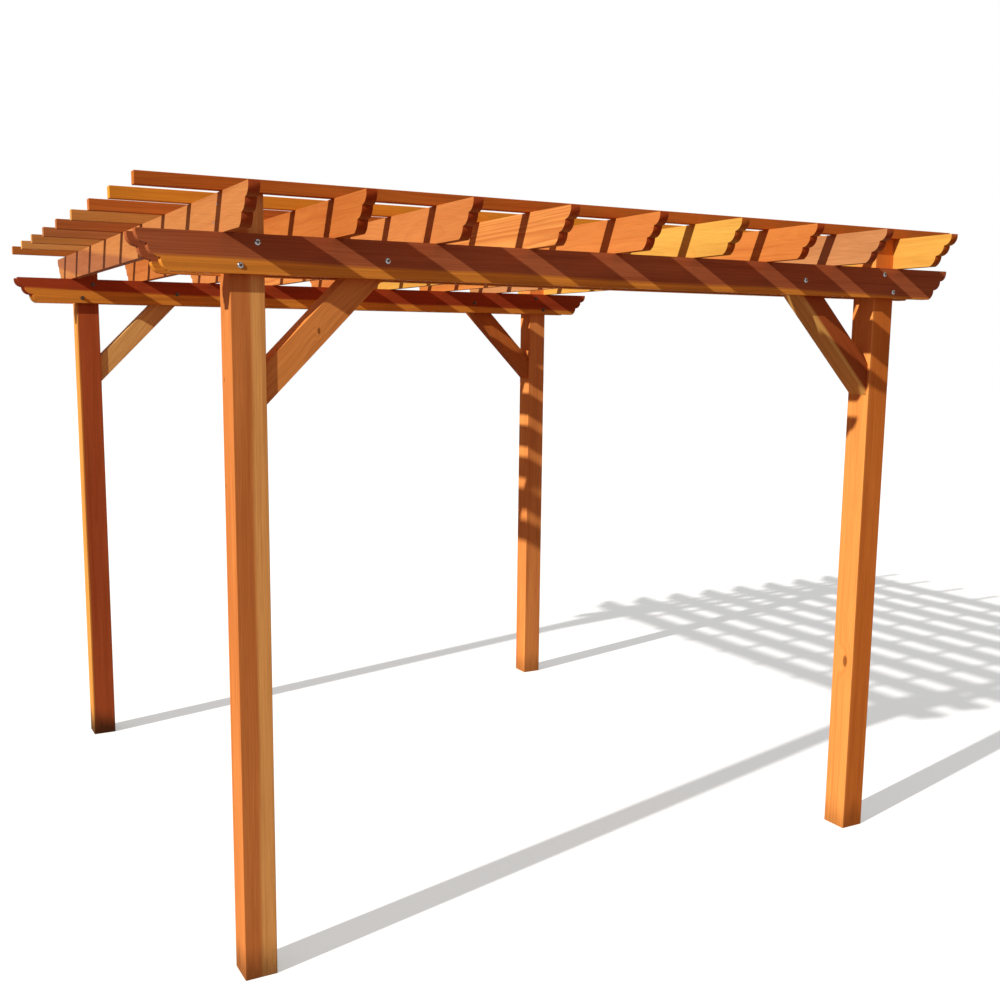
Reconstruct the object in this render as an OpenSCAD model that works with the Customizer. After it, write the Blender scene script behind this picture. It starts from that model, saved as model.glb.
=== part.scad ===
// Wooden pergola: four posts, paired beams let into them front and back, knee braces between
// the beams, scalloped rafters and a layer of square slats on top.
// Units are millimetres, +Z is up, X runs along the beams and Y runs to the back.
// The origin is on the ground at the middle of the whole frame.

/* [Frame] */
// outside width over the posts, along the beams
frame_w = 3048; // [1800:1:4800]
// outside depth over the posts, along the rafters
frame_d = 3094; // [1800:1:4800]
// clear height from the ground to the underside of the beams
clear_h = 2490; // [1900:1:3000]
// how far beams and rafters run past the outside of the posts
overhang = 305; // [200:1:600]

/* [Posts] */
// side of the square posts
post_w = 119; // [89:1:160]
// flat cut along the four long edges of a post
post_ease = 1.5; // [1:0.5:10]
// how deep the beam boards and the outer rafters are let into the faces of a post
let_in = 11.5; // [0.5:0.5:25]

/* [Beams and rafters] */
// depth of the beam and rafter boards
board_d = 130; // [90:1:190]
// thickness of the beam and rafter boards
board_t = 38; // [25:1:50]

/* [Slats] */
// height of a slat
slat_h = 42; // [25:1:60]
// width of a slat, front to back
slat_w = 38; // [25:1:60]
// spacing of the slats, middle to middle
slat_pitch = 390; // [200:1:500]

/* [Braces] */
// depth of a knee brace across its length
brace_d = 98; // [60:1:130]
// drop from the underside of the beam to where the brace's middle meets the post
brace_drop = 363; // [250:1:700]

/* [Build] */
// which sub-part to build

/* [Hidden] */
// middle of a post from the middle of the frame, along X and along Y
post_x = frame_w / 2 - post_w / 2;
post_y = frame_d / 2 - post_w / 2;
// heights where the rafters start and where the slats start
rafter_z = clear_h + board_d;
slat_z = rafter_z + board_d;
// lengths of the boards
beam_l = frame_w + 2 * overhang;
rafter_l = frame_d + 2 * overhang;
// beam board middles either side of the post row
beam_off = post_w / 2 - let_in + board_t / 2;
// nine rafters share the width, the end ones let into the outsides of the posts
rafter_pitch = (frame_w + board_t - 2 * let_in) / 8;
// one unit of the scalloped end, which scales with the board
k = board_d / 130;
// a knee brace fills the gap between the two boards of a beam
brace_t = post_w - 2 * let_in;
// vertical cut of the brace against the post
brace_cut = brace_d * sqrt(2);
// colours for the sub-parts
wood_post = "#c9793d";
wood_beam = "#8f4524";
wood_rafter = "#d98a4b";
wood_slat = "#9c4c28";
wood_brace = "#b8662f";

// square post with its long edges taken off, standing on the ground
// housed front and back for the beam boards and on its outside for the outer rafter
module post(sx, sy) {
  a = post_w / 2;
  b = a - post_ease;
  translate([sx * post_x, sy * post_y, 0])
    difference() {
      linear_extrude(height = slat_z)
        polygon([[-b, -a], [b, -a], [a, -b], [a, b], [b, a], [-b, a], [-a, b], [-a, -b]]);
      translate([-post_w, -post_w - brace_t / 2, clear_h])
        cube([2 * post_w, post_w, board_d]);
      translate([-post_w, brace_t / 2, clear_h])
        cube([2 * post_w, post_w, board_d]);
      translate([sx > 0 ? a - let_in : let_in - a - post_w, -post_w, rafter_z])
        cube([post_w, 2 * post_w, board_d]);
    }
}

// half of a board's outline from its middle to its scalloped tip, tip at x = 0
module half_outline(len) {
  intersection() {
    square([len / 2, board_d]);
    union() {
      // body of the board behind the scallops
      translate([104 * k, 0])
        square([len / 2, board_d]);
      // top band that carries the nose
      translate([0, board_d - 8 * k])
        square([len / 2, 8 * k]);
      translate([38 * k, board_d - 46 * k])
        square([len / 2, 46 * k]);
      translate([77 * k, board_d - 87 * k])
        square([len / 2, 87 * k]);
      // three lobes, each stepping down and in
      translate([38 * k, board_d - 8 * k])
        circle(r = 38 * k, $fn = 96);
      translate([77 * k, board_d - 46 * k])
        circle(r = 41 * k, $fn = 96);
      translate([124 * k, board_d - 86 * k])
        circle(r = 48 * k, $fn = 96);
    }
  }
}

// scalloped board with its length along X, its middle over the origin
module board(len) {
  rotate([90, 0, 0])
    linear_extrude(height = board_t, center = true)
      union() {
        translate([-len / 2, 0])
          half_outline(len);
        mirror([1, 0])
          translate([-len / 2, 0])
            half_outline(len);
      }
}

// one beam board, sy picks the front or back post row, so its side of that row
module beam(sy, so) {
  translate([0, sy * post_y + so * beam_off, clear_h])
    board(beam_l);
}

// knee brace: plumb cut on the post, level cut on top between the beam boards
module brace(sx, sy) {
  lo = clear_h - brace_drop - brace_cut / 2;
  hi = lo + brace_cut;
  top = rafter_z;
  translate([sx * post_x, sy * post_y, 0])
    mirror([sx > 0 ? 1 : 0, 0, 0])
      translate([post_w / 2, 0, 0])
        rotate([90, 0, 0])
          linear_extrude(height = brace_t, center = true)
            polygon([[0, lo], [top - lo, top], [top - hi, top], [0, hi]]);
}

// one rafter, i counts from the left
module rafter(i) {
  translate([(i - 5) * rafter_pitch, 0, rafter_z])
    rotate([0, 0, 90])
      board(rafter_l);
}

// one slat, i counts from the front
module slat(i) {
  translate([-beam_l / 2, (i - 5) * slat_pitch - slat_w / 2, slat_z])
    cube([beam_l, slat_w, slat_h]);
}

module post_front_left() { color(wood_post) post(-1, -1); }
module post_front_right() { color(wood_post) post(1, -1); }
module post_back_left() { color(wood_post) post(-1, 1); }
module post_back_right() { color(wood_post) post(1, 1); }
module beam_front_outer() { color(wood_beam) beam(-1, -1); }
module beam_front_inner() { color(wood_beam) beam(-1, 1); }
module beam_back_inner() { color(wood_beam) beam(1, -1); }
module beam_back_outer() { color(wood_beam) beam(1, 1); }
module brace_front_left() { color(wood_brace) brace(-1, -1); }
module brace_front_right() { color(wood_brace) brace(1, -1); }
module brace_back_left() { color(wood_brace) brace(-1, 1); }
module brace_back_right() { color(wood_brace) brace(1, 1); }
module rafter_1() { color(wood_rafter) rafter(1); }
module rafter_2() { color(wood_rafter) rafter(2); }
module rafter_3() { color(wood_rafter) rafter(3); }
module rafter_4() { color(wood_rafter) rafter(4); }
module rafter_5() { color(wood_rafter) rafter(5); }
module rafter_6() { color(wood_rafter) rafter(6); }
module rafter_7() { color(wood_rafter) rafter(7); }
module rafter_8() { color(wood_rafter) rafter(8); }
module rafter_9() { color(wood_rafter) rafter(9); }
module slat_1() { color(wood_slat) slat(1); }
module slat_2() { color(wood_slat) slat(2); }
module slat_3() { color(wood_slat) slat(3); }
module slat_4() { color(wood_slat) slat(4); }
module slat_5() { color(wood_slat) slat(5); }
module slat_6() { color(wood_slat) slat(6); }
module slat_7() { color(wood_slat) slat(7); }
module slat_8() { color(wood_slat) slat(8); }
module slat_9() { color(wood_slat) slat(9); }

post_front_left();
post_front_right();
post_back_left();
post_back_right();
beam_front_outer();
beam_front_inner();
beam_back_inner();
beam_back_outer();
brace_front_left();
brace_front_right();
brace_back_left();
brace_back_right();
rafter_1();
rafter_2();
rafter_3();
rafter_4();
rafter_5();
rafter_6();
rafter_7();
rafter_8();
rafter_9();
slat_1();
slat_2();
slat_3();
slat_4();
slat_5();
slat_6();
slat_7();
slat_8();
slat_9();
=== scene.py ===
from math import radians, sin, cos

import bpy
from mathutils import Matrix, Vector


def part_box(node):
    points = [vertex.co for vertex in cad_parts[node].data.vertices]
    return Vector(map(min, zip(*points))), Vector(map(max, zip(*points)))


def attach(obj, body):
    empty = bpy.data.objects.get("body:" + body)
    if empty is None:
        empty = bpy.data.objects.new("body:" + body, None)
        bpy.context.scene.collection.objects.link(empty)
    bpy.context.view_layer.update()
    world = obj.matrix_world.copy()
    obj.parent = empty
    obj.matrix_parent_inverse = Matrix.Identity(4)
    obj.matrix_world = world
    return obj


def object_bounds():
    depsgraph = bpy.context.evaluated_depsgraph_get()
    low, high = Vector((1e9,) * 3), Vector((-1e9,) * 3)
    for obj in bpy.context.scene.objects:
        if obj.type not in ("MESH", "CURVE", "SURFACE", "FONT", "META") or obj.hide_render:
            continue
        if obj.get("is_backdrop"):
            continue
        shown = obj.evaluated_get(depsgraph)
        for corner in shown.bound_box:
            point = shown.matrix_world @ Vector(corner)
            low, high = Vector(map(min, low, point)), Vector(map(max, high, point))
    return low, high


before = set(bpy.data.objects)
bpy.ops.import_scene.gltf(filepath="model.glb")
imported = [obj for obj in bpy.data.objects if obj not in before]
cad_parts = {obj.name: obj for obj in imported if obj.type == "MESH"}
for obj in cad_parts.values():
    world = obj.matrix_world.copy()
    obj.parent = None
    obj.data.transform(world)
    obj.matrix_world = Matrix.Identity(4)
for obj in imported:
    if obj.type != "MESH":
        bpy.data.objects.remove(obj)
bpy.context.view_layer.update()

MM = 0.001
KNOT_BROWN = "#5b2a12"
SPLASH_BROWN = "#4a2e1c"
OIL_SHEEN = 0.006


def linear(colour):
    """An sRGB hex colour as linear red, green, blue and alpha."""
    parts = [int(colour[i:i + 2], 16) / 255 for i in (1, 3, 5)]
    return [p / 12.92 if p <= 0.04045 else ((p + 0.055) / 1.055) ** 2.4 for p in parts] + [1.0]


def add(tree, kind, inputs={}, **settings):
    """Adds a node to a tree with its settings, and links or sets each named or numbered input."""
    node = tree.nodes.new(kind)
    for name, value in settings.items():
        setattr(node, name, value)
    for key, value in inputs.items():
        if isinstance(value, bpy.types.NodeSocket):
            tree.links.new(value, node.inputs[key])
        else:
            node.inputs[key].default_value = value
    return node


def out(node, key=0):
    """An output of a node, the first unless another is named."""
    return node.outputs[key]


def blend(tree, much, first, second):
    """A mix of two colours, with much of the second."""
    return out(add(tree, "ShaderNodeMix", {0: much, 6: first, 7: second}, data_type="RGBA"), 2)


def oiled_redwood(name, grain, middle, heart, late, sap=None, sap_from=0.0, pith=(0.02, 0.09),
                  rings=7.0, strength=0.4, sway=0.05, lean=0.0, shift=0.0, tilt=0.0,
                  ends=(0.66, 0.45, 0.40), knots=(), foot=0.0):
    """Redwood planed smooth and wiped thinly with oil: nearly matt, with rings, fibre and streaks.

    grain is the axis the board runs along, once turned by tilt about Y, middle its centre in
    metres and pith where the heart of the log lies from there, across the grain. rings is the
    ring spacing in millimetres, drawn as wide as it needs to be to show. sap is the paler
    sapwood, from sap_from metres off the pith, sway how far the log's heart wanders and lean how
    far it climbs in a metre. ends tints the sawn ends, darker below one and paler above, foot is
    how much dirt hides at the ground, and each knot is a place and a radius in metres.
    """
    wood = bpy.data.materials.new(name)
    wood.use_nodes = True
    tree = wood.node_tree
    tree.nodes.clear()
    place = add(tree, "ShaderNodeTexCoord")
    local = add(tree, "ShaderNodeVectorMath", {0: out(place, "Object"), 1: middle},
                operation="SUBTRACT")
    local = add(tree, "ShaderNodeVectorRotate", {"Vector": out(local), "Angle": tilt},
                rotation_type="Y_AXIS")
    axes = add(tree, "ShaderNodeSeparateXYZ", {0: out(local)})
    along = out(axes, grain)
    side, rise = [out(axes, a) for a in "XYZ" if a != grain]

    # the log's middle wanders along the board, which makes the arches on flat-sawn faces
    travel = add(tree, "ShaderNodeMath", {0: along, 1: shift}, operation="ADD")
    wander = add(tree, "ShaderNodeTexNoise", {"W": out(travel), "Scale": 0.9, "Detail": 1.5},
                 noise_dimensions="1D")
    drift = add(tree, "ShaderNodeVectorMath", {0: out(wander, "Color"), 1: (0.5, 0.5, 0.5)},
                operation="SUBTRACT")
    drift = add(tree, "ShaderNodeVectorMath", {0: out(drift), "Scale": sway * 2}, operation="SCALE")
    across = add(tree, "ShaderNodeCombineXYZ", {0: side, 1: rise})
    off_pith = add(tree, "ShaderNodeVectorMath", {0: out(across), 1: (pith[0], pith[1], 0)},
                   operation="SUBTRACT")
    climb = add(tree, "ShaderNodeMath", {0: along, 1: -lean}, operation="MULTIPLY")
    climb = add(tree, "ShaderNodeCombineXYZ", {1: out(climb)})
    off_pith = add(tree, "ShaderNodeVectorMath", {0: out(off_pith), 1: out(drift)}, operation="ADD")
    off_pith = add(tree, "ShaderNodeVectorMath", {0: out(off_pith), 1: out(climb)}, operation="ADD")
    off_pith = add(tree, "ShaderNodeVectorMath", {0: out(off_pith), 1: (1, 1, 0)}, operation="MULTIPLY")
    radius = out(add(tree, "ShaderNodeVectorMath", {0: out(off_pith)}, operation="LENGTH"), "Value")

    # grain space: across the board in metres, along it squeezed so that marks come out long
    grain_space = add(tree, "ShaderNodeCombineXYZ", {0: side, 1: rise, 2: out(travel)})

    def streaks(across_scale, along_scale, detail, rough=0.55):
        """Noise drawn out along the grain."""
        space = add(tree, "ShaderNodeVectorMath",
                    {0: out(grain_space), 1: (across_scale, across_scale, along_scale)}, operation="MULTIPLY")
        return out(add(tree, "ShaderNodeTexNoise", {"Vector": out(space), "Scale": 1.0, "Detail": detail,
                                                    "Roughness": rough}), "Fac")

    # grain bends round each knot
    knot_core = None
    for x, y, z, size in knots:
        gap = add(tree, "ShaderNodeVectorMath", {0: out(place, "Object"), 1: (x, y, z)}, operation="SUBTRACT")
        squash = [0.45 if a == grain else 1.0 for a in "XYZ"]
        gap = add(tree, "ShaderNodeVectorMath", {0: out(gap), 1: squash}, operation="MULTIPLY")
        gap = add(tree, "ShaderNodeVectorMath", {0: out(gap)}, operation="LENGTH")
        swell = add(tree, "ShaderNodeMapRange",
                    {"Value": out(gap, "Value"), 1: 0.0, 2: size * 4.5, 3: size * 1.3, 4: 0.0},
                    interpolation_type="SMOOTHERSTEP")
        radius = out(add(tree, "ShaderNodeMath", {0: radius, 1: out(swell)}, operation="ADD"))
        core = add(tree, "ShaderNodeMapRange",
                   {"Value": out(gap, "Value"), 1: size * 0.55, 2: size * 1.1, 3: 1.0, 4: 0.0},
                   interpolation_type="SMOOTHSTEP")
        knot_core = out(core) if knot_core is None else out(
            add(tree, "ShaderNodeMath", {0: knot_core, 1: out(core)}, operation="MAXIMUM"))

    # rings: pale early wood darkens slowly to a thin line of late wood, then starts again
    ripple = streaks(38, 0.8, 3)
    ripple = add(tree, "ShaderNodeMath", {0: ripple, 1: 0.008, 2: -0.004}, operation="MULTIPLY_ADD")
    warped = add(tree, "ShaderNodeMath", {0: radius, 1: out(ripple)}, operation="ADD")
    count = add(tree, "ShaderNodeMath", {0: out(warped), 1: rings * MM}, operation="DIVIDE")
    year = add(tree, "ShaderNodeTexNoise", {"W": out(count), "Scale": 0.35, "Detail": 2.0},
               noise_dimensions="1D")
    count = add(tree, "ShaderNodeMath", {0: out(year, "Fac"), 1: 2.2, 2: out(count)},
                operation="MULTIPLY_ADD")
    turn = add(tree, "ShaderNodeMath", {0: out(count)}, operation="FRACT")
    ring = add(tree, "ShaderNodeValToRGB", {0: out(turn)})
    ring.color_ramp.interpolation = "B_SPLINE"
    for spot, shade in ((0.45, 0.22), (0.8, 0.9), (0.92, 1.0)):
        ring.color_ramp.elements.new(spot).color = (shade, shade, shade, 1)
    ring.color_ramp.elements[0].color = (0.05, 0.05, 0.05, 1)
    ring.color_ramp.elements[-1].color = (0.1, 0.1, 0.1, 1)
    bold = streaks(5, 0.7, 2)
    bold = add(tree, "ShaderNodeMapRange", {"Value": bold, 1: 0.3, 2: 0.7, 3: 0.35, 4: 1.0})
    line = add(tree, "ShaderNodeMath", {0: out(ring), 1: out(bold)}, operation="MULTIPLY")
    line = add(tree, "ShaderNodeMath", {0: out(line), 1: strength}, operation="MULTIPLY")

    # colour: heartwood with redder and paler streaks, late wood lines and fine fibre
    tone = linear(heart)
    deep = [c * f for c, f in zip(tone, (0.72, 0.56, 0.5))] + [1.0]
    pale = [min(1.0, c * f) for c, f in zip(tone, (1.16, 1.26, 1.28))] + [1.0]
    patch = add(tree, "ShaderNodeMapRange", {"Value": streaks(7, 0.9, 3), 1: 0.3, 2: 0.72, 3: 0.0, 4: 1.0})
    colour = blend(tree, out(patch), deep, pale)
    colour = blend(tree, 0.5, colour, tone)
    if sap:
        edge = add(tree, "ShaderNodeMath", {0: out(warped), 1: sap_from}, operation="SUBTRACT")
        edge = add(tree, "ShaderNodeMapRange", {"Value": out(edge), 1: -0.008, 2: 0.008, 3: 0.0, 4: 1.0},
                   interpolation_type="SMOOTHSTEP")
        colour = blend(tree, out(edge), colour, linear(sap))
    red = add(tree, "ShaderNodeMapRange", {"Value": streaks(42, 1.1, 3), 1: 0.5, 2: 0.8, 3: 0.0, 4: 0.42})
    for much in (red, line):
        colour = blend(tree, out(much), colour, linear(late))
    fibre = streaks(260, 7, 4, 0.65)
    shade = add(tree, "ShaderNodeMapRange", {"Value": fibre, 1: 0.25, 2: 0.75, 3: 0.86, 4: 1.13})
    colour = out(add(tree, "ShaderNodeVectorMath", {0: colour, 1: out(shade)}, operation="MULTIPLY"))
    if knot_core:
        swirl = out(add(tree, "ShaderNodeMath", {0: knot_core, 1: 0.7}, operation="MULTIPLY"))
        colour = blend(tree, swirl, colour, linear(KNOT_BROWN))

    # end grain drinks the oil differently, so the sawn ends take a tint of their own and are duller
    facing = add(tree, "ShaderNodeVectorRotate", {"Vector": out(place, "Normal"), "Angle": tilt},
                 rotation_type="Y_AXIS")
    facing = add(tree, "ShaderNodeSeparateXYZ", {0: out(facing)})
    endwise = add(tree, "ShaderNodeMath", {0: out(facing, grain)}, operation="ABSOLUTE")
    endwise = add(tree, "ShaderNodeMapRange", {"Value": out(endwise), 1: 0.35, 2: 0.8, 3: 0.0, 4: 1.0})
    drink = blend(tree, out(endwise), (1, 1, 1, 1), (*ends, 1))
    colour = out(add(tree, "ShaderNodeVectorMath", {0: colour, 1: drink}, operation="MULTIPLY"))
    if foot:
        # rain splash stains the foot of a post and fades out within a quarter of a metre
        high = add(tree, "ShaderNodeSeparateXYZ", {0: out(place, "Object")})
        ragged = add(tree, "ShaderNodeMath", {0: streaks(22, 5, 4), 1: 0.16, 2: out(high, 2)},
                     operation="MULTIPLY_ADD")
        stain = add(tree, "ShaderNodeMapRange", {"Value": out(ragged), 1: 0.08, 2: 0.24, 3: foot, 4: 0.0},
                    interpolation_type="SMOOTHSTEP")
        colour = blend(tree, out(stain), colour, linear(SPLASH_BROWN))

    gloss = add(tree, "ShaderNodeMapRange", {"Value": fibre, 1: 0.2, 2: 0.8, 3: 0.62, 4: 0.48})
    gloss = add(tree, "ShaderNodeMath", {0: out(endwise), 1: 0.2, 2: out(gloss)}, operation="MULTIPLY_ADD")
    relief = add(tree, "ShaderNodeMath", {0: out(line), 1: -0.6, 2: fibre}, operation="MULTIPLY_ADD")
    bump = add(tree, "ShaderNodeBump", {"Strength": 0.35, "Distance": 0.0009, "Height": out(relief)})
    oil = add(tree, "ShaderNodeBsdfPrincipled", {"Base Color": colour, "Roughness": out(gloss),
                                                 "Normal": out(bump), "IOR": 1.45,
                                                 "Specular IOR Level": OIL_SHEEN})
    add(tree, "ShaderNodeOutputMaterial", {"Surface": out(oil)})
    return wood


def dress(node_name, wood, edge):
    """Gives a timber its wood and rounds its arrises over by edge metres."""
    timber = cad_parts[node_name]
    timber.data.materials.clear()
    timber.data.materials.append(wood)
    weld = timber.modifiers.new("weld", "WELD")
    weld.merge_threshold = 0.02 * MM
    ease = timber.modifiers.new("ease", "BEVEL")
    ease.width = edge
    ease.segments = 3
    ease.limit_method = "ANGLE"
    ease.angle_limit = radians(28)
    ease.harden_normals = False
    return timber


def middle_of(node_name):
    """Centre of a timber's box."""
    low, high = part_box(node_name)
    return (Vector(low) + Vector(high)) / 2


POSTS = {
    "post_front_left": dict(heart="#df8b48", late="#a7551c", pith=(-0.10, -0.04), shift=3.1, rings=9.0,
                            sap="#fab968", sap_from=0.108, sway=0.012, strength=0.25, foot=0.6,
                            knots=((-1.524, -1.458, 2.143, 0.004), (-1.524, -1.444, 1.780, 0.004))),
    "post_front_right": dict(heart="#e98a3b", late="#a9501d", pith=(0.10, -0.06), shift=11.4, rings=8.0,
                             sap="#f9a353", sap_from=0.152, sway=0.006, foot=0.4,
                             knots=((1.405, -1.502, 0.812, 0.015),)),
    "post_back_left": dict(heart="#ba5e33", late="#883615", pith=(0.10, -0.05), shift=19.2, rings=9.0,
                           sap="#eda84e", sap_from=0.155, sway=0.005, foot=0.95),
    "post_back_right": dict(heart="#f9a055", late="#ad5220", pith=(0.11, 0.09), shift=27.7, rings=8.0,
                            foot=0.4),
}
for name, look in POSTS.items():
    wood = oiled_redwood("oiled_redwood_" + name, "Z", middle_of(name), **({"strength": 0.3} | look))
    dress(name, wood, 1.0 * MM)

# Beams
# Two redwood boards on edge are let into the front and back of each row of posts. Their tips are
# sawn to three stepped lobes. Dark heartwood runs along the top and paler sapwood along the bottom.
BEAMS = {
    "beam_front_outer": dict(heart="#ba6a41", shift=41.0, pith=(0.03, 0.15), sap_from=0.193, lean=-0.011),
    "beam_front_inner": dict(heart="#ba6a41", shift=53.0, pith=(-0.03, 0.17), sap_from=0.21, lean=-0.006),
    "beam_back_inner": dict(heart="#b14b28", shift=64.0, pith=(0.03, 0.14), sap_from=0.165, lean=-0.014,
                             ends=(0.75, 0.7, 0.95)),
    # this board's sawn ends are tinted a darker grey-blue
    "beam_back_outer": dict(heart="#ad4d24", shift=77.0, pith=(-0.02, 0.16), sap_from=0.20, lean=-0.006,
                             ends=(0.6, 1.1, 1.8)),
}
for name, look in BEAMS.items():
    wood = oiled_redwood("oiled_redwood_" + name, "X", middle_of(name), late="#742814", sap="#f39e3d",
                         rings=10.0, strength=0.3, sway=0.012, **({"ends": (1.08, 1.08, 1.0)} | look))
    dress(name, wood, 5.5 * MM)

# Knee braces
# Short square sticks at 45 degrees: sawn plumb against the post, and rising between the beam boards.
BRACES = {
    "brace_front_left": dict(heart="#f49e50", late="#b25b26", shift=5.5, tilt=radians(-45),
                             knots=((-1.2125, -1.5355, 2.3097, 0.006),)),
    "brace_front_right": dict(heart="#b8602f", late="#743416", shift=15.5, tilt=radians(45),
                              pith=(0.30, 0.0), sap="#f7be66", sap_from=0.287, sway=0.003),
    "brace_back_left": dict(heart="#f5bd6e", late="#ba6e34", shift=25.5, tilt=radians(-45)),
    "brace_back_right": dict(heart="#cb7234", late="#823c19", shift=35.5, tilt=radians(45)),
}
for name, look in BRACES.items():
    wood = oiled_redwood("oiled_redwood_" + name, "Z", middle_of(name), rings=8.0, strength=0.3, **look)
    dress(name, wood, 1.5 * MM)

# Rafters
# Nine redwood boards on edge across the beams, with the same scalloped tips. The two outer ones
# are let into the outsides of the posts. Every board came from a different log, so no two match.
RAFTERS = [
    dict(heart="#ac6c45", late="#9a4f26", shift=2.0, pith=(0.06, -0.1155),
         sap="#ca854b", sap_from=0.106, sway=0.01, lean=0.11),
    dict(heart="#ca7a3b", late="#9f491d", shift=12.0, pith=(0.10, 0.05)),
    dict(heart="#d3874a", late="#ad5726", shift=23.0, pith=(0.12, -0.03)),
    dict(heart="#e79d54", late="#b55928", shift=34.0, pith=(0.05, -0.03), strength=0.8, sway=0.02),
    dict(heart="#d58342", late="#b25825", shift=45.0, pith=(0.13, 0.05)),
    dict(heart="#e3ae50", late="#c57f2f", shift=56.0, pith=(0.10, -0.05)),
    dict(heart="#dc8a44", late="#aa5123", shift=67.0, pith=(0.08, 0.03)),
    dict(heart="#c98c59", late="#a06238", shift=78.0, pith=(0.12, 0.06)),
    dict(heart="#e4ab4e", late="#c7802f", shift=89.0, pith=(0.09, -0.04)),
]
for number, look in enumerate(RAFTERS, start=1):
    name = f"rafter_{number}"
    wood = oiled_redwood("oiled_redwood_" + name, "Y", middle_of(name), rings=9.0,
                         ends=(0.78, 0.38, 0.32), **({"strength": 0.25} | look))
    dress(name, wood, 4.5 * MM)

# Slats
# Nine square redwood battens laid across the rafters for shade, sawn square at the ends.
SLATS = [
    dict(heart="#ce722d", late="#8e3815"),
    dict(heart="#f9a436", late="#c76e22"),
    dict(heart="#d47532", late="#8a3211"),
    dict(heart="#e09b50", late="#a25623"),
    dict(heart="#c06e38", late="#852f11"),
    dict(heart="#ce844c", late="#753815"),
    dict(heart="#d4914d", late="#a45b22"),
    dict(heart="#f0ab60", late="#ab6728"),
    dict(heart="#ca7c38", late="#904119"),
]
for number, look in enumerate(SLATS, start=1):
    name = f"slat_{number}"
    wood = oiled_redwood("oiled_redwood_" + name, "X", middle_of(name), pith=(0.03, 0.07), rings=8.0,
                         shift=number * 7.3, ends=(1.05, 1.25, 1.45), **look)
    dress(name, wood, 1.5 * MM)

# Through bolts
# Zinc-plated carriage bolts hold both beam boards to each post, two on a diagonal, and one more holds
# the top of each brace. The domed heads are outside; the nuts, on washers, are inside.
def plated_steel(name, dark, light, dull, shiny):
    """Steel with a thin zinc plating: crystals of slightly different greys that blur its reflections."""
    metal = bpy.data.materials.new(name)
    metal.use_nodes = True
    tree = metal.node_tree
    tree.nodes.clear()
    place = add(tree, "ShaderNodeTexCoord")
    crystals = add(tree, "ShaderNodeTexVoronoi", {"Vector": place.outputs["Object"], "Scale": 1 / (3 * MM)})
    cloud = add(tree, "ShaderNodeTexNoise",
                {"Vector": place.outputs["Object"], "Scale": 1 / (8 * MM), "Detail": 3.0})
    mixed = add(tree, "ShaderNodeMix", {0: 0.6, 2: crystals.outputs["Color"], 3: cloud.outputs["Fac"]})
    colour = blend(tree, mixed.outputs[0], linear(dark), linear(light))
    rough = add(tree, "ShaderNodeMapRange",
                {"Value": cloud.outputs["Fac"], 1: 0.3, 2: 0.7, 3: shiny, 4: dull})
    dents = add(tree, "ShaderNodeBump",
                {"Strength": 0.15, "Distance": 0.2 * MM, "Height": cloud.outputs["Fac"]})
    steel = add(tree, "ShaderNodeBsdfPrincipled", {"Base Color": colour, "Metallic": 1.0,
                                                   "Roughness": rough.outputs[0], "Normal": dents.outputs[0]})
    add(tree, "ShaderNodeOutputMaterial", {"Surface": steel.outputs[0]})
    return metal


bright_zinc = plated_steel("zinc_plated_steel", "#77767a", "#a9a9ad", 0.34, 0.20)
# dark brown steel for painted shade and a painted reflection: the nuts are painted dark for the shade they
# sit in, and each dome's crown for the dark it mirrors
painted_dark_zinc = plated_steel("zinc_plated_steel_painted_dark", "#3f2f27", "#5f4a3b", 0.66, 0.48)


def fastening_tree(name, sizes, build, finish, painted_dark):
    """A Geometry Nodes tree that puts one fastener on every point, turned to face its way.

    finish covers it all but for faces marked for a painted dark reflection, which take the second, darker
    material.
    """
    tree = bpy.data.node_groups.new(name, "GeometryNodeTree")
    tree.interface.new_socket("Geometry", in_out="INPUT", socket_type="NodeSocketGeometry")
    for label in sizes:
        tree.interface.new_socket(label, in_out="INPUT", socket_type="NodeSocketFloat")
    tree.interface.new_socket("Geometry", in_out="OUTPUT", socket_type="NodeSocketGeometry")
    given = add(tree, "NodeGroupInput")
    shape = build(tree, given.outputs)
    facing = add(tree, "GeometryNodeInputNamedAttribute", {"Name": "facing"}, data_type="FLOAT_VECTOR")
    turned = add(tree, "FunctionNodeAlignRotationToVector", {"Vector": facing.outputs[0]}, axis="Z")
    spin = add(tree, "FunctionNodeRandomValue", {2: 0.0, 3: 6.283, "Seed": 4}, data_type="FLOAT")
    about = add(tree, "FunctionNodeAxisAngleToRotation", {"Axis": (0, 0, 1), "Angle": spin.outputs[1]})
    final = add(tree, "FunctionNodeRotateRotation", {0: turned.outputs[0], 1: about.outputs[0]},
                rotation_space="LOCAL")
    copies = add(tree, "GeometryNodeInstanceOnPoints",
                 {"Points": given.outputs[0], "Instance": shape, "Rotation": final.outputs[0]})
    solid = add(tree, "GeometryNodeRealizeInstances", {0: copies.outputs[0]})
    plated = add(tree, "GeometryNodeSetMaterial", {"Geometry": solid.outputs[0], "Material": finish})
    painted_reflection = add(tree, "GeometryNodeInputNamedAttribute", {"Name": "painted_reflection"}, data_type="BOOLEAN")
    darkened = add(tree, "GeometryNodeSetMaterial",
                 {"Geometry": plated.outputs[0], "Selection": painted_reflection.outputs[0], "Material": painted_dark})
    add(tree, "NodeGroupOutput", {0: darkened.outputs[0]})
    return tree


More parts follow.
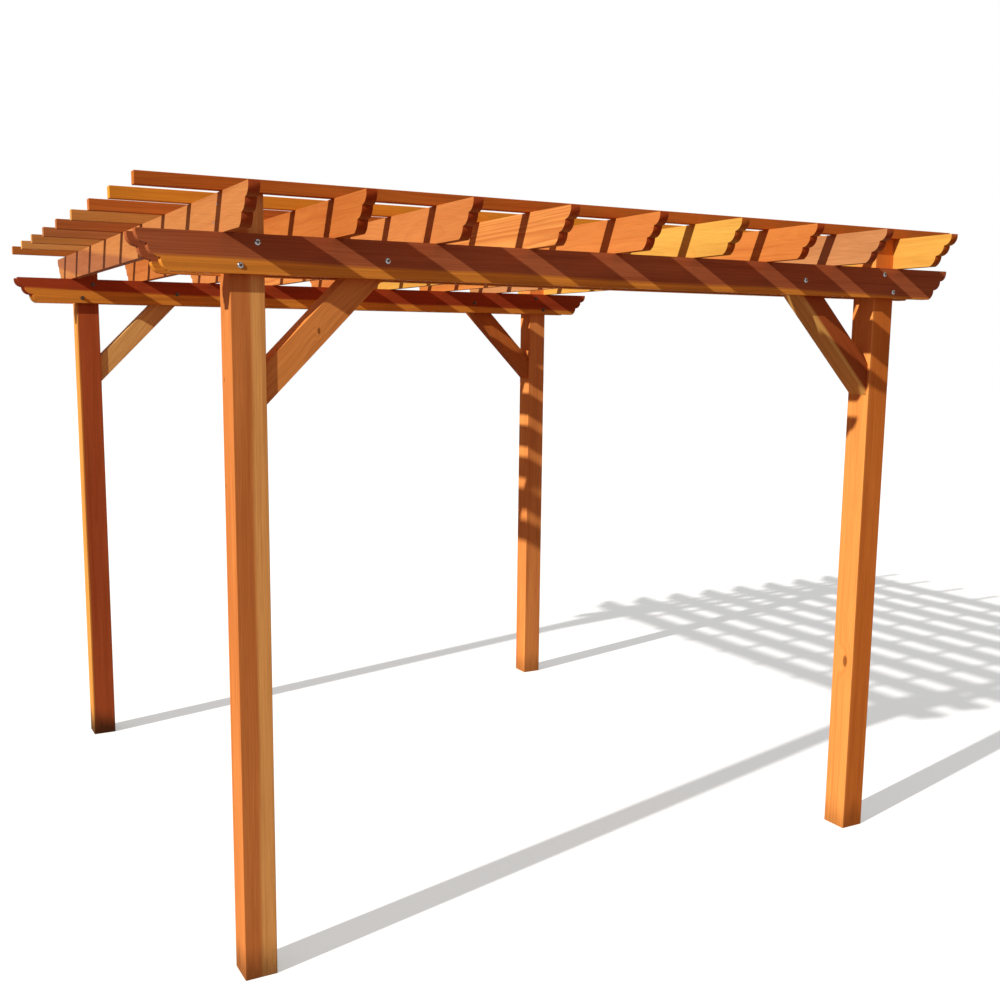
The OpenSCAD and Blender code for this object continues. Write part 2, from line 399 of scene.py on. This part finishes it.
def fasten(name, spots, tree, sizes):
    """Makes one mesh of fasteners at (place, facing) spots and hangs it on the frame."""
    mesh = bpy.data.meshes.new(name + "_spots")
    mesh.from_pydata([spot for spot, _ in spots], [], [])
    facing = mesh.attributes.new("facing", "FLOAT_VECTOR", "POINT")
    facing.data.foreach_set("vector", [c for _, way in spots for c in way])
    maker = bpy.data.objects.new(name + "_maker", mesh)
    bpy.context.scene.collection.objects.link(maker)
    nodes = maker.modifiers.new("fasteners", "NODES")
    nodes.node_group = tree
    for item in tree.interface.items_tree:
        if item.in_out == "INPUT" and item.name in sizes:
            nodes[item.identifier] = sizes[item.name]
    whole = maker.evaluated_get(bpy.context.evaluated_depsgraph_get())
    made = bpy.data.objects.new(name, bpy.data.meshes.new_from_object(whole))
    maker.modifiers.remove(nodes)
    bpy.data.objects.remove(maker)
    bpy.context.scene.collection.objects.link(made)
    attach(made, "root")
    return made


CROWN_FROM = 0.86
HEX_CORNER = 0.57735
CHAMFERED = 0.88
SCREW_FLAT = 0.62


def domed_head(tree, size):
    """A low dome, its crown in dark steel as a painted dark reflection, and its lower half sunk out of sight
    in the board.
    """
    ball = add(tree, "GeometryNodeMeshUVSphere", {"Segments": 24, "Rings": 12, "Radius": size["Head radius"]})
    spot = add(tree, "ShaderNodeSeparateXYZ", {0: add(tree, "GeometryNodeInputPosition").outputs[0]})
    high = add(tree, "ShaderNodeMath", {0: spot.outputs[2], 1: size["Head radius"]}, operation="DIVIDE")
    crown = add(tree, "ShaderNodeMath", {0: high.outputs[0], 1: CROWN_FROM}, operation="GREATER_THAN")
    ball = add(tree, "GeometryNodeStoreNamedAttribute",
               {"Geometry": ball.outputs[0], "Name": "painted_reflection", "Value": crown.outputs[0]},
               data_type="BOOLEAN", domain="FACE")
    low = add(tree, "ShaderNodeMath", {0: size["Head height"], 1: size["Head radius"]}, operation="DIVIDE")
    squash = add(tree, "ShaderNodeCombineXYZ", {0: 1.0, 1: 1.0, 2: low.outputs[0]})
    dome = add(tree, "GeometryNodeTransform", {"Geometry": ball.outputs[0], "Scale": squash.outputs[0]})
    return add(tree, "GeometryNodeSetShadeSmooth", {"Geometry": dome.outputs[0]}).outputs[0]


def nut_on_washer(tree, size):
    """Washer, chamfered hex nut and the end of the thread, stacked outwards from the board."""
    def raised(mesh, height):
        return out(add(tree, "GeometryNodeTransform", {"Geometry": mesh, "Translation": (0, 0, height)}))

    corner = out(add(tree, "ShaderNodeMath", {0: size["Across flats"], 1: HEX_CORNER}, operation="MULTIPLY"))
    face = out(add(tree, "ShaderNodeMath", {0: corner, 1: CHAMFERED}, operation="MULTIPLY"))
    thick, nut, chamfer, end = 1.6 * MM, 7.0 * MM, 1.0 * MM, 4.0 * MM
    washer = add(tree, "GeometryNodeMeshCylinder",
                 {"Vertices": 32, "Radius": size["Washer radius"], "Depth": thick})
    hexagon = add(tree, "GeometryNodeMeshCylinder", {"Vertices": 6, "Radius": corner, "Depth": nut})
    crown = add(tree, "GeometryNodeMeshCone",
                {"Vertices": 6, "Radius Top": face, "Radius Bottom": corner, "Depth": chamfer})
    thread = add(tree, "GeometryNodeMeshCylinder",
                 {"Vertices": 20, "Radius": size["Rod radius"], "Depth": end})
    stack = add(tree, "GeometryNodeJoinGeometry")
    for piece in (raised(washer.outputs[0], thick / 2), raised(hexagon.outputs[0], thick + nut / 2),
                  raised(crown.outputs[0], thick + nut),
                  raised(thread.outputs[0], thick + nut + chamfer + end / 2)):
        tree.links.new(piece, stack.inputs[0])
    return stack.outputs[0]


# in from the post's outer edge and up from the board's lower edge: two on the post, one on the brace
BOLT_PLACES = ((29 * MM, 27 * MM), (88 * MM, 103 * MM), (554 * MM, 62 * MM))
board_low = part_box("beam_front_outer")[0][2]
head_spots, nut_spots = [], []
for row, outwards in (("front", -1), ("back", 1)):
    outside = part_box(f"beam_{row}_outer")[0 if outwards < 0 else 1][1]
    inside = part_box(f"beam_{row}_inner")[1 if outwards < 0 else 0][1]
    for hand, sense in (("left", 1), ("right", -1)):
        post_low, post_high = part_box(f"post_{row}_{hand}")
        edge = post_low[0] if sense > 0 else post_high[0]
        for inwards, rise in BOLT_PLACES:
            across, up = edge + sense * inwards, board_low + rise
            head_spots.append(((across, outside, up), (0, outwards, 0)))
            nut_spots.append(((across, inside, up), (0, -outwards, 0)))
# each head's crown takes the dark steel: a painted dark reflection
heads = fastening_tree("carriage_bolt_heads", ("Head radius", "Head height"), domed_head,
                       bright_zinc, painted_dark_zinc)
fasten("bolt_heads", head_spots, heads, {"Head radius": 10.7 * MM, "Head height": 5.2 * MM})
# the nuts are dark steel all over: painted shade
nuts = fastening_tree("nuts_on_washers", ("Across flats", "Washer radius", "Rod radius"), nut_on_washer,
                      painted_dark_zinc, painted_dark_zinc)
fasten("bolt_nuts", nut_spots, nuts,
       {"Across flats": 14.3 * MM, "Washer radius": 11 * MM, "Rod radius": 4.75 * MM})

# Screws
# Pan-headed deck screws: down through each slat into every rafter, in pairs through the outer
# rafters into the posts, and one low on the right of each inner rafter, aslant into either beam.


def pan_head(tree, size):
    """A shallow head: a straight rim with a sloping shoulder above it."""
    radius = add(tree, "ShaderNodeMath", {0: size["Head"], 1: 0.5}, operation="MULTIPLY").outputs[0]
    flat = add(tree, "ShaderNodeMath", {0: radius, 1: SCREW_FLAT}, operation="MULTIPLY").outputs[0]
    rim, shoulder = 1.2 * MM, 0.7 * MM
    base = out(add(tree, "GeometryNodeMeshCylinder", {"Vertices": 16, "Radius": radius, "Depth": rim}))
    top = out(add(tree, "GeometryNodeMeshCone",
                  {"Vertices": 16, "Radius Top": flat, "Radius Bottom": radius, "Depth": shoulder}))
    top = out(add(tree, "GeometryNodeTransform", {"Geometry": top, "Translation": (0, 0, rim / 2)}))
    whole = add(tree, "GeometryNodeJoinGeometry")
    for piece in (base, top):
        tree.links.new(piece, whole.inputs[0])
    return whole.outputs[0]


SCREW_HEAD = 8.5 * MM
# up from the rafter's lower edge and along it from the post's middle
PAIRED_SCREWS = ((95 * MM, -22 * MM), (38 * MM, 24 * MM))
SINGLE_RISE, SINGLE_STEP = 24 * MM, 66 * MM
screw_tree = fastening_tree("pan_head_screws", ("Head",), pan_head, bright_zinc, painted_dark_zinc)
slat_spots, rafter_spots = [], []
for number in range(1, len(SLATS) + 1):
    slat_middle, slat_top = middle_of(f"slat_{number}"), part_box(f"slat_{number}")[1][2]
    for other in range(1, len(RAFTERS) + 1):
        slat_spots.append(((middle_of(f"rafter_{other}").x, slat_middle.y, slat_top), (0, 0, 1)))
for number in range(1, len(RAFTERS) + 1):
    low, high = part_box(f"rafter_{number}")
    rows = [middle_of("post_front_left").y, middle_of("post_back_left").y]
    for y in rows:
        if number in (1, len(RAFTERS)):
            face, way = (low[0], -1) if number == 1 else (high[0], 1)
            for rise, step in PAIRED_SCREWS:
                rafter_spots.append(((face, y + step, low[2] + rise), (way, 0, 0)))
        else:
            rafter_spots.append(((high[0], y - SINGLE_STEP, low[2] + SINGLE_RISE), (1, 0, 0)))
fasten("slat_screws", slat_spots, screw_tree, {"Head": SCREW_HEAD})
fasten("rafter_screws", rafter_spots, screw_tree, {"Head": SCREW_HEAD})

# Floor, light and camera
# A pale studio floor under a white surround, a small hard key light low on the left and a dim
# fill with a little red in it, which the timber's shaded faces need.
def looked_at(tree):
    """One where the camera looks straight at a thing, in a mirror or through glass, otherwise nought."""
    seen = add(tree, "ShaderNodeLightPath")
    direct = add(tree, "ShaderNodeMath",
                 {0: seen.outputs["Is Camera Ray"], 1: seen.outputs["Is Glossy Ray"]}, operation="MAXIMUM")
    return out(add(tree, "ShaderNodeMath", {0: out(direct), 1: seen.outputs["Is Transmission Ray"]},
                   operation="MAXIMUM"))


floor_mesh = bpy.data.meshes.new("floor")
reach = 60.0
corners = [(-reach, -reach, 0), (reach, -reach, 0), (reach, reach, 0), (-reach, reach, 0)]
floor_mesh.from_pydata(corners, [], [(0, 1, 2, 3)])
floor = bpy.data.objects.new("floor", floor_mesh)
bpy.context.scene.collection.objects.link(floor)
paper = bpy.data.materials.new("matt_white_paper")
paper.use_nodes = True
sheet = paper.node_tree
sheet.nodes.clear()
# the light it throws back up is dim and brown, as off bare ground, and its own face stays pale
bounce = add(sheet, "ShaderNodeBsdfDiffuse", {"Color": (0.22, 0.14, 0.125, 1)})
white = add(sheet, "ShaderNodeBsdfDiffuse", {"Color": (0.9, 0.9, 0.9, 1)})
glow = add(sheet, "ShaderNodeEmission", {"Color": (0.82, 1.0, 0.94, 1), "Strength": 0.36})
bright = add(sheet, "ShaderNodeAddShader", {0: out(white), 1: out(glow)})
both = add(sheet, "ShaderNodeMixShader", {0: looked_at(sheet), 1: out(bounce), 2: out(bright)})
add(sheet, "ShaderNodeOutputMaterial", {"Surface": out(both)})
floor_mesh.materials.append(paper)
floor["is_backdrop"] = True

world = bpy.data.worlds.new("plain_surround")
bpy.context.scene.world = world
world.use_nodes = True
sky = world.node_tree
sky.nodes.clear()
fill = blend(sky, looked_at(sky), (0.34, 0.268, 0.29, 1), (1, 1, 1, 1))
surround = add(sky, "ShaderNodeBackground", {"Color": fill, "Strength": 1.0})
add(sky, "ShaderNodeOutputWorld", {"Surface": surround.outputs[0]})

key = bpy.data.lights.new("key", "SUN")
key.energy = 4.0
key.angle = radians(0.8)
key.color = (1.0, 0.965, 0.91)
lamp = bpy.data.objects.new("key", key)
from_left, height = radians(75.5), radians(28.9)
towards = Vector((-sin(from_left) * cos(height), -cos(from_left) * cos(height), sin(height)))
lamp.rotation_euler = towards.to_track_quat("Z", "Y").to_euler()
bpy.context.scene.collection.objects.link(lamp)

camera = bpy.data.objects.new("camera", bpy.data.cameras.new("camera"))
camera.location = (-2.618, -5.280, 2.251)
camera.rotation_euler = (radians(90 - 8.50), radians(-0.41), radians(-27.82))
camera.data.sensor_width = 36
camera.data.lens = 41.1
camera.data.shift_x = 0.034
camera.data.shift_y = 0.020
bpy.context.scene.collection.objects.link(camera)
bpy.context.scene.camera = camera
bpy.context.scene.view_settings.view_transform = "Standard"

low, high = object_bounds()
